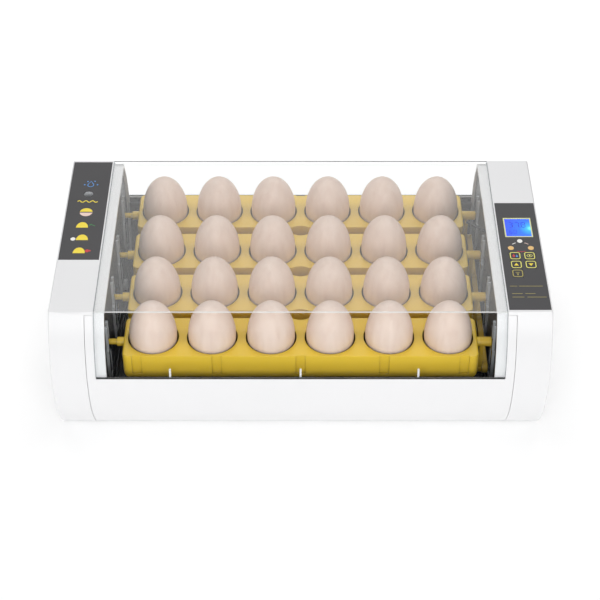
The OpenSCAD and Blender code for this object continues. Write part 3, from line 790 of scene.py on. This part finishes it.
def left_label_print():
    """Water drop and wave beside the fill hole, and four hatching signs below them."""
    x = middle("label_left").x / MM
    print_ = Print("left_label_print", LABEL_TOP, "base", "label_film")
    drop_x, drop_y = x + 0.6, 77.0
    print_.band(drop_outline(drop_x, drop_y, 3.0), 0.8, "blue", closed=True)
    for dx, dy in ((-6.2, 0.4), (6.8, 0.4), (-3.4, 5.6), (3.8, 6.2)):
        print_.patch(arc(drop_x + dx, drop_y + dy, 0.85, 0.95), "blue")
    print_.band(wave_line(x, 49.5, 20.0, 2.6, 3), 1.1, "yellow")

    # a two-toned oval, then three domes with a leaf, a disc and a bud beside them
    oval_y, leaf_y, disc_y, bud_y = 31.9, 11.5, -8.1, -28.2
    print_.patch(arc(x + 0.2, oval_y, 6.4, 6.6, 8, 172), "yellow")
    print_.patch(arc(x + 0.2, oval_y + 0.4, 6.4, 6.6, 188, 352), "blush")
    for dome_x, dome_y in ((x - 1.6, leaf_y), (x + 0.2, disc_y), (x - 0.9, bud_y)):
        print_.patch(arc(dome_x, dome_y - 4.0, 5.9, 8.6, 0, 180), "yellow")
    print_.band(arc(x + 7.2, leaf_y - 2.6, 2.2, 3.4, 60, 150, 8), 1.2, "green")
    print_.band(arc(x + 9.4, leaf_y - 2.9, 1.6, 2.4, 30, 120, 8), 0.9, "green")
    print_.patch(arc(x - 8.6, disc_y - 2.3, 2.4, 2.5), "white")
    print_.patch(arc(x + 6.8, bud_y - 0.5, 1.9, 2.2), "red")
    print_.patch(arc(x + 9.4, bud_y - 0.3, 1.0, 1.2), "red")
    print_.done()


def right_label_print():
    """Turning sign under the display, and plain rules at the foot of the label."""
    x = middle("label_right").x / MM
    print_ = Print("right_label_print", LABEL_TOP, "base", "label_film")
    print_.patch(arc(x, -13.5, 2.6, 2.8), "white")
    for side in (-1, 1):
        print_.patch(arc(x + side * 9.7, -24.3, 2.9, 3.0), "peach")
    turn_y = -23.0
    print_.band(arc(x, turn_y, 9.6, 7.4, 36, 64, 10), 0.7, "blush")
    print_.band(arc(x, turn_y, 9.6, 7.4, 116, 144, 10), 0.7, "white")
    print_.band(arc(x, turn_y, 9.0, 7.0, 242, 298, 12), 0.6, "red")
    rules = {
        -81.2: ((-16, -9), (-7.5, 15)),
        -92.0: ((-15, -5), (-2.5, 7)),
        -97.0: ((-15, -4), (-1, 17)),
    }
    for y, spans in rules.items():
        for start, end in spans:
            print_.band([(x + start, y), (x + end, y)], 0.5, "tan")
    print_.done()


def key_print(key):
    """Rounded frame and symbol of one key."""
    node = "button_" + key
    print_ = Print(key + "_key_print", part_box(node)[1].z, node, "key_plastic")
    x, y = middle(node).xy / MM
    frame_ink = "tan" if key == "set" else "pale_yellow"
    print_.band(rounded_box(x, y, 9.2, 9.6, 2.0), 0.9, frame_ink, closed=True)
    if key == "heat":
        print_.patch(arc(x - 1.3, y - 0.3, 1.2, 1.9), "red")
        print_.band([(x - 1.3, y + 1.2), (x - 1.3, y + 2.4)], 0.8, "red")
        print_.patch(drop_outline(x + 1.6, y - 0.9, 1.1), "blue")
    elif key == "turn":
        print_.band(arc(x, y, 2.6, 1.9), 0.5, "pale_yellow", closed=True)
        print_.patch(arc(x, y, 0.8, 0.9), "pale_yellow")
    elif key in ("up", "down"):
        tip = 1 if key == "up" else -1
        foot_y = y - 1.6 * tip
        print_.patch([(x - 2.3, foot_y), (x + 2.3, foot_y), (x, y + 2.2 * tip)], "yellow")
    else:
        print_.band([(x - 2, y + 1.4), (x + 2, y + 1.4)], 0.6, "tan")
        print_.band([(x - 1.2, y - 0.3), (x + 1.2, y - 0.3)], 0.6, "tan")
        print_.patch(arc(x, y - 2.0, 0.7, 0.8), "tan")
    print_.done()


# a top, b upper right, c lower right, d bottom, e lower left, f upper left, g middle
LIT_SEGMENTS = {"0": "abcdef", "3": "abcdg", "6": "acdefg", "7": "abc", "8": "abcdefg"}


def digit(print_, sign, x, y, w, h, width):
    """A seven-segment digit with its lower left corner at (x, y)."""
    right, half, top = x + w, y + h / 2, y + h
    segments = {
        "a": ((x, top), (right, top)),
        "b": ((right, top), (right, half)),
        "c": ((right, half), (right, y)),
        "d": ((x, y), (right, y)),
        "e": ((x, y), (x, half)),
        "f": ((x, half), (x, top)),
        "g": ((x, half), (right, half)),
    }
    gap = 0.15
    for name in LIT_SEGMENTS[sign]:
        start, end = (Vector(point) for point in segments[name])
        pull = (end - start).normalized() * (gap + width / 2)
        print_.band([tuple(start + pull), tuple(end - pull)], width, "deep_blue")


def display_print():
    """Temperature in large digits above moisture in small ones."""
    x, y = middle("lcd_screen").xy / MM
    left = x - 8.6
    print_ = Print("lcd_digits", LCD_HIGH.z, "base", "lcd_glass")
    for i, sign in enumerate("378"):
        digit(print_, sign, left + 6.2 * i, y + 0.6, 3.6, 8.0, 0.8)
    print_.patch(arc(x + 2.4, y + 0.5, 0.5, 0.5), "deep_blue")
    for i, sign in enumerate("60"):
        digit(print_, sign, left + 4.2 * i, y - 9.0, 2.4, 5.4, 0.6)
    print_.done()


# ---------- camera, light and floor ----------


def add_camera():
    """A long lens in front, tilted up 49 degrees from straight down."""
    lens = bpy.data.cameras.new("camera")
    lens.lens = 100.26
    lens.sensor_width = 36.0
    camera = bpy.data.objects.new("camera", lens)
    camera.location = (-0.00056, -1.2815, 1.1760)
    camera.rotation_euler = (math.radians(49.0), 0, 0)
    bpy.context.scene.collection.objects.link(camera)
    bpy.context.scene.camera = camera


def softbox(name, place, size, power):
    """A flat lamp that faces the object's middle."""
    light = bpy.data.lights.new(name, "AREA")
    light.shape = "RECTANGLE"
    light.size, light.size_y = size
    light.energy = power
    lamp = bpy.data.objects.new(name, light)
    lamp.location = place
    lamp.rotation_euler = (Vector((0, 0, 0.08)) - lamp.location).to_track_quat("-Z", "Y").to_euler()
    bpy.context.scene.collection.objects.link(lamp)


def studio():
    """White surroundings, and softboxes on every side but below."""
    world = bpy.data.worlds.new("studio")
    world.use_nodes = True
    background = world.node_tree.nodes["Background"]
    background.inputs["Color"].default_value = (1.0, 1.0, 1.0, 1.0)
    background.inputs["Strength"].default_value = 0.42
    bpy.context.scene.world = world
    softbox("key_front", (0.0, -2.0, 1.15), (2.2, 0.9), 21.0)
    softbox("top", (0.0, 0.25, 1.9), (2.0, 1.4), 9.5)
    softbox("panel_back", (0.0, 1.6, 1.45), (2.0, 1.0), 7.0)
    softbox("strip_left", (-1.1, -1.0, 0.8), (0.3, 1.2), 2.0)
    softbox("strip_right", (1.1, -1.0, 0.8), (0.3, 1.2), 2.0)


def floor_paper():
    """Pale paper with a slight glow, stronger towards the back, so that it stays pale there."""
    finish = Finish("floor_paper")
    finish.mottle((0.88, 0.88, 0.88, 1.0), 0.004, 2.0)
    finish.gloss(0.7, 0.8, 20.0)
    place = finish.node("SeparateXYZ")
    finish.link(finish.place, place.inputs[0])
    glow = finish.node("MapRange", From_Min=-0.25, From_Max=0.55, To_Min=0.16, To_Max=0.42)
    finish.link(place.outputs["Y"], glow.inputs["Value"])
    finish.link(glow.outputs["Result"], finish.shader.inputs["Emission Strength"])
    finish.set(Emission_Color=(1, 1, 1, 1))
    return finish.material


def add_floor():
    bm = bmesh.new()
    bmesh.ops.create_grid(bm, x_segments=8, y_segments=8, size=12.0)
    mesh = bpy.data.meshes.new("floor")
    bm.to_mesh(mesh)
    bm.free()
    mesh.materials.append(floor_paper())
    floor = bpy.data.objects.new("floor", mesh)
    floor.location.z = -0.2 * MM
    bpy.context.scene.collection.objects.link(floor)


# ---------- the scene ----------

bpy.context.scene.view_settings.view_transform = "Standard"
add_camera()
studio()
add_floor()
paint_frame()
soft_housing()
for row in TRAY_ROWS:
    soft_tray(row)
softened("link_bar", "link_bar", "link_yellow", 0.5 * MM)
for row in TRAY_ROWS:
    egg_row(row)
make_cover()
make_tub_lip()
left_label_print()
right_label_print()
display_print()
for key in KEYS:
    key_print(key)
